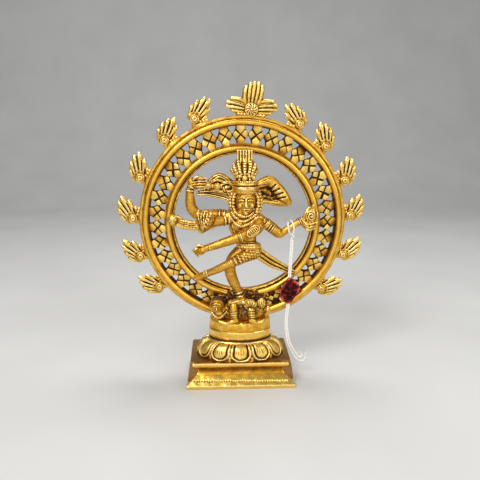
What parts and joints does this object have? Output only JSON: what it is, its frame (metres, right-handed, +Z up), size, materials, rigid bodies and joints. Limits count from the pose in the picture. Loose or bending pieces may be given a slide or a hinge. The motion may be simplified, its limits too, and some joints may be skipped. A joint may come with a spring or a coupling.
{
  "type": "brass nataraja statue",
  "caption": "Cast brass dancer with bent arms inside a pierced ring of flames on a lotus pedestal, with a seal tag hung on cotton twine from one forearm.",
  "frame": {"origin": "on the table, under the middle of the statue's box: the ring's middle stands above it, and the plinth is 1.4 mm to its left", "axes": "+Z up, +X to the viewer's right, -Y to the front"},
  "size_m": [0.1914, 0.053, 0.2302],
  "materials": {
    "cast_brass": "cast and hand chased, polished on the high places, brown in the recesses",
    "dark_brass": "cast, left with a matt brown patina",
    "plain_steel": "plain turned",
    "cotton_twine": "two-ply twisted cotton",
    "seal_wax": "pressed sealing wax, rubbed on its edges"
  },
  "bodies": {
    "statue": {"plinth": "dark_brass", "lotus_cushion": "cast_brass", "seat_drum": "cast_brass", "tie_stud": "plain_steel", "tie_washer": "plain_steel", "tie_nut": "plain_steel", "ring_plate": "cast_brass", "outer_bead": "cast_brass", "inner_bead": "cast_brass", "flame_left_1": "cast_brass", "flame_left_2": "cast_brass", "flame_left_3": "cast_brass", "flame_left_4": "cast_brass", "flame_left_5": "cast_brass", "flame_left_6": "cast_brass", "flame_right_1": "cast_brass", "flame_right_2": "cast_brass", "flame_right_3": "cast_brass", "flame_right_4": "cast_brass", "flame_right_5": "cast_brass", "flame_right_6": "cast_brass", "crest_flame": "cast_brass", "torso": "cast_brass", "head": "cast_brass", "crown": "cast_brass", "hair_wing": "cast_brass", "hair_locks": "cast_brass", "drum_arm": "cast_brass", "hand_drum": "cast_brass", "blessing_arm": "cast_brass", "cobra": "cast_brass", "flame_arm": "cast_brass", "flame_bowl": "cast_brass", "flame_tongue": "cast_brass", "crossing_arm": "cast_brass", "standing_leg": "cast_brass", "raised_leg": "cast_brass", "sash": "cast_brass", "dwarf_body": "cast_brass", "dwarf_head": "cast_brass"},
    "tie_loop": {"wrist_loop_1": "cotton_twine", "wrist_loop_2": "cotton_twine", "twine_knot": "cotton_twine"},
    "hanging_tag": {"twine_upper_1": "cotton_twine", "twine_upper_2": "cotton_twine", "seal_tag": "seal_wax", "twine_tail_1": "cotton_twine", "twine_tail_2": "cotton_twine"}
  },
  "joints": [
    {"name": "loop_turn", "type": "hinge", "parent": "statue", "child": "tie_loop", "pos_m": [0.03689, -0.006, 0.12241], "axis": [-0.8373, 0, -0.5467], "range_deg": [-1.5, 60]},
    {"name": "tag_swing", "type": "hinge", "parent": "tie_loop", "child": "hanging_tag", "pos_m": [0.03828, -0.006, 0.11524], "axis": [0, -1, 0], "range_deg": [-1, 30]}
  ]
}
